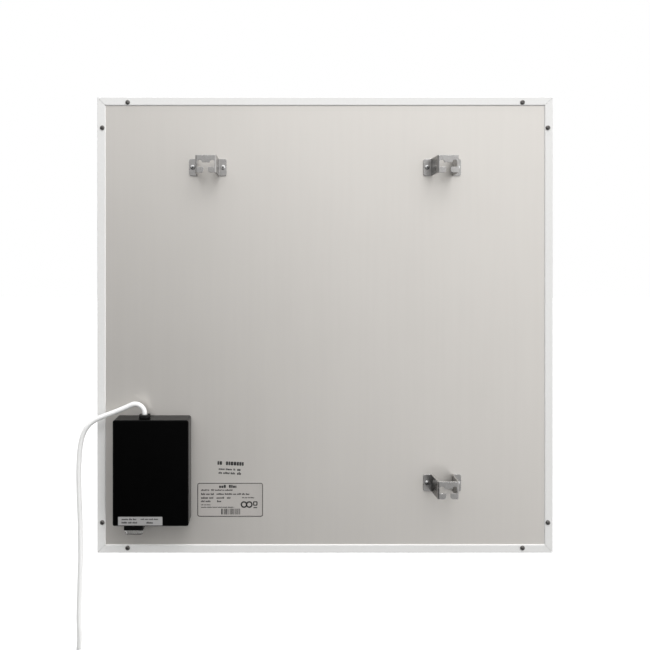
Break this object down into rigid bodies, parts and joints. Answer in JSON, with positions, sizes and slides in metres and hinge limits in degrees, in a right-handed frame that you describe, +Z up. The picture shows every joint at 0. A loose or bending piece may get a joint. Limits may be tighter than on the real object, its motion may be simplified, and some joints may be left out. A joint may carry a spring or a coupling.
{
  "type": "infrared heating panel",
  "caption": "Slim square framed wall heating panel with stand-off hanging brackets, a rear control box with rocker switch, and a mains lead with plug.",
  "frame": {"origin": "on the wall plane, midway between the two upper hanging brackets, level with the middle of the wall screws seated in their slots", "axes": "+Z up as hung, +Y out of the back towards the wall, so the heating face looks along -Y; +X to the right as seen from the room"},
  "size_m": [0.6495, 0.0508, 0.929],
  "materials": {
    "frame_paint": "satin",
    "radiator_coat": "matte",
    "rear_sheet": "satin",
    "key_metal": "matte",
    "screw_steel": "satin",
    "bright_screws": "satin",
    "bracket_zinc": "satin",
    "rivet_metal": "satin",
    "mineral_board": "matte",
    "foil": "polished",
    "clear_film": "satin",
    "carbon_film": "matte",
    "copper": "satin",
    "cutout_case": "matte",
    "box_black": "satin",
    "foot_black": "matte",
    "circuit_green": "satin",
    "relay_blue": "satin",
    "module_black": "matte",
    "terminal_green": "satin",
    "capacitor_yellow": "satin",
    "varistor_blue": "satin",
    "fuse_glass": "gloss",
    "shield_tin": "satin",
    "grommet_rubber": "matte",
    "wire_brown": "satin",
    "wire_blue": "satin",
    "wire_green": "satin",
    "wire_grey": "satin",
    "brass_parts": "satin",
    "black_nylon": "matte",
    "rocker_black": "satin",
    "clear_cap": "gloss",
    "white_pvc": "satin",
    "tie_grey": "matte",
    "plated_brass": "satin",
    "label_film": "satin",
    "sticker_silver": "satin"
  },
  "bodies": {
    "panel": {"frame_top": "frame_paint", "frame_bottom": "frame_paint", "frame_left": "frame_paint", "frame_right": "frame_paint", "corner_keys": "key_metal", "frame_screws": "screw_steel", "back_plate": "rear_sheet", "insulation_board": "mineral_board", "reflective_foil": "foil", "insulating_sheet": "clear_film", "copper_busbars": "copper", "heating_film": "carbon_film", "radiating_plate": "radiator_coat", "thermal_cutouts": "cutout_case", "bracket_upper_right": "bracket_zinc", "bracket_upper_left": "bracket_zinc", "bracket_lower_left": "bracket_zinc", "bracket_rivets": "rivet_metal", "control_box_cover": "box_black", "control_box_foot": "foot_black", "control_box_screws": "bright_screws", "circuit_board": "circuit_green", "circuit_screws": "bright_screws", "relay": "relay_blue", "power_module": "module_black", "terminal_block": "terminal_green", "filter_capacitor": "capacitor_yellow", "varistor": "varistor_blue", "fuse": "fuse_glass", "wireless_module": "shield_tin", "wire_grommet": "grommet_rubber", "live_wire": "wire_brown", "neutral_wire": "wire_blue", "earth_wire": "wire_green", "earth_screw": "brass_parts", "strain_relief": "black_nylon", "cord_sheath_end": "white_pvc", "cord_cores": "wire_grey", "switch_housing": "black_nylon", "switch_terminals": "brass_parts", "switch_wires": "wire_grey", "switch_boot": "clear_cap", "power_cord": "white_pvc", "cord_coil": "white_pvc", "cord_tail": "white_pvc", "cord_ties": "tie_grey", "plug_body": "white_pvc", "plug_pins": "plated_brass", "plug_earth_clips": "plated_brass", "rating_label": "label_film", "box_sticker": "sticker_silver"},
    "rocker": {"switch_rocker": "rocker_black"}
  },
  "joints": [
    {"name": "rocker_turn", "type": "hinge", "parent": "panel", "child": "rocker", "pos_m": [0.2455, -0.016, -0.4615], "axis": [0, 1, 0], "range_deg": [0, 20]}
  ]
}
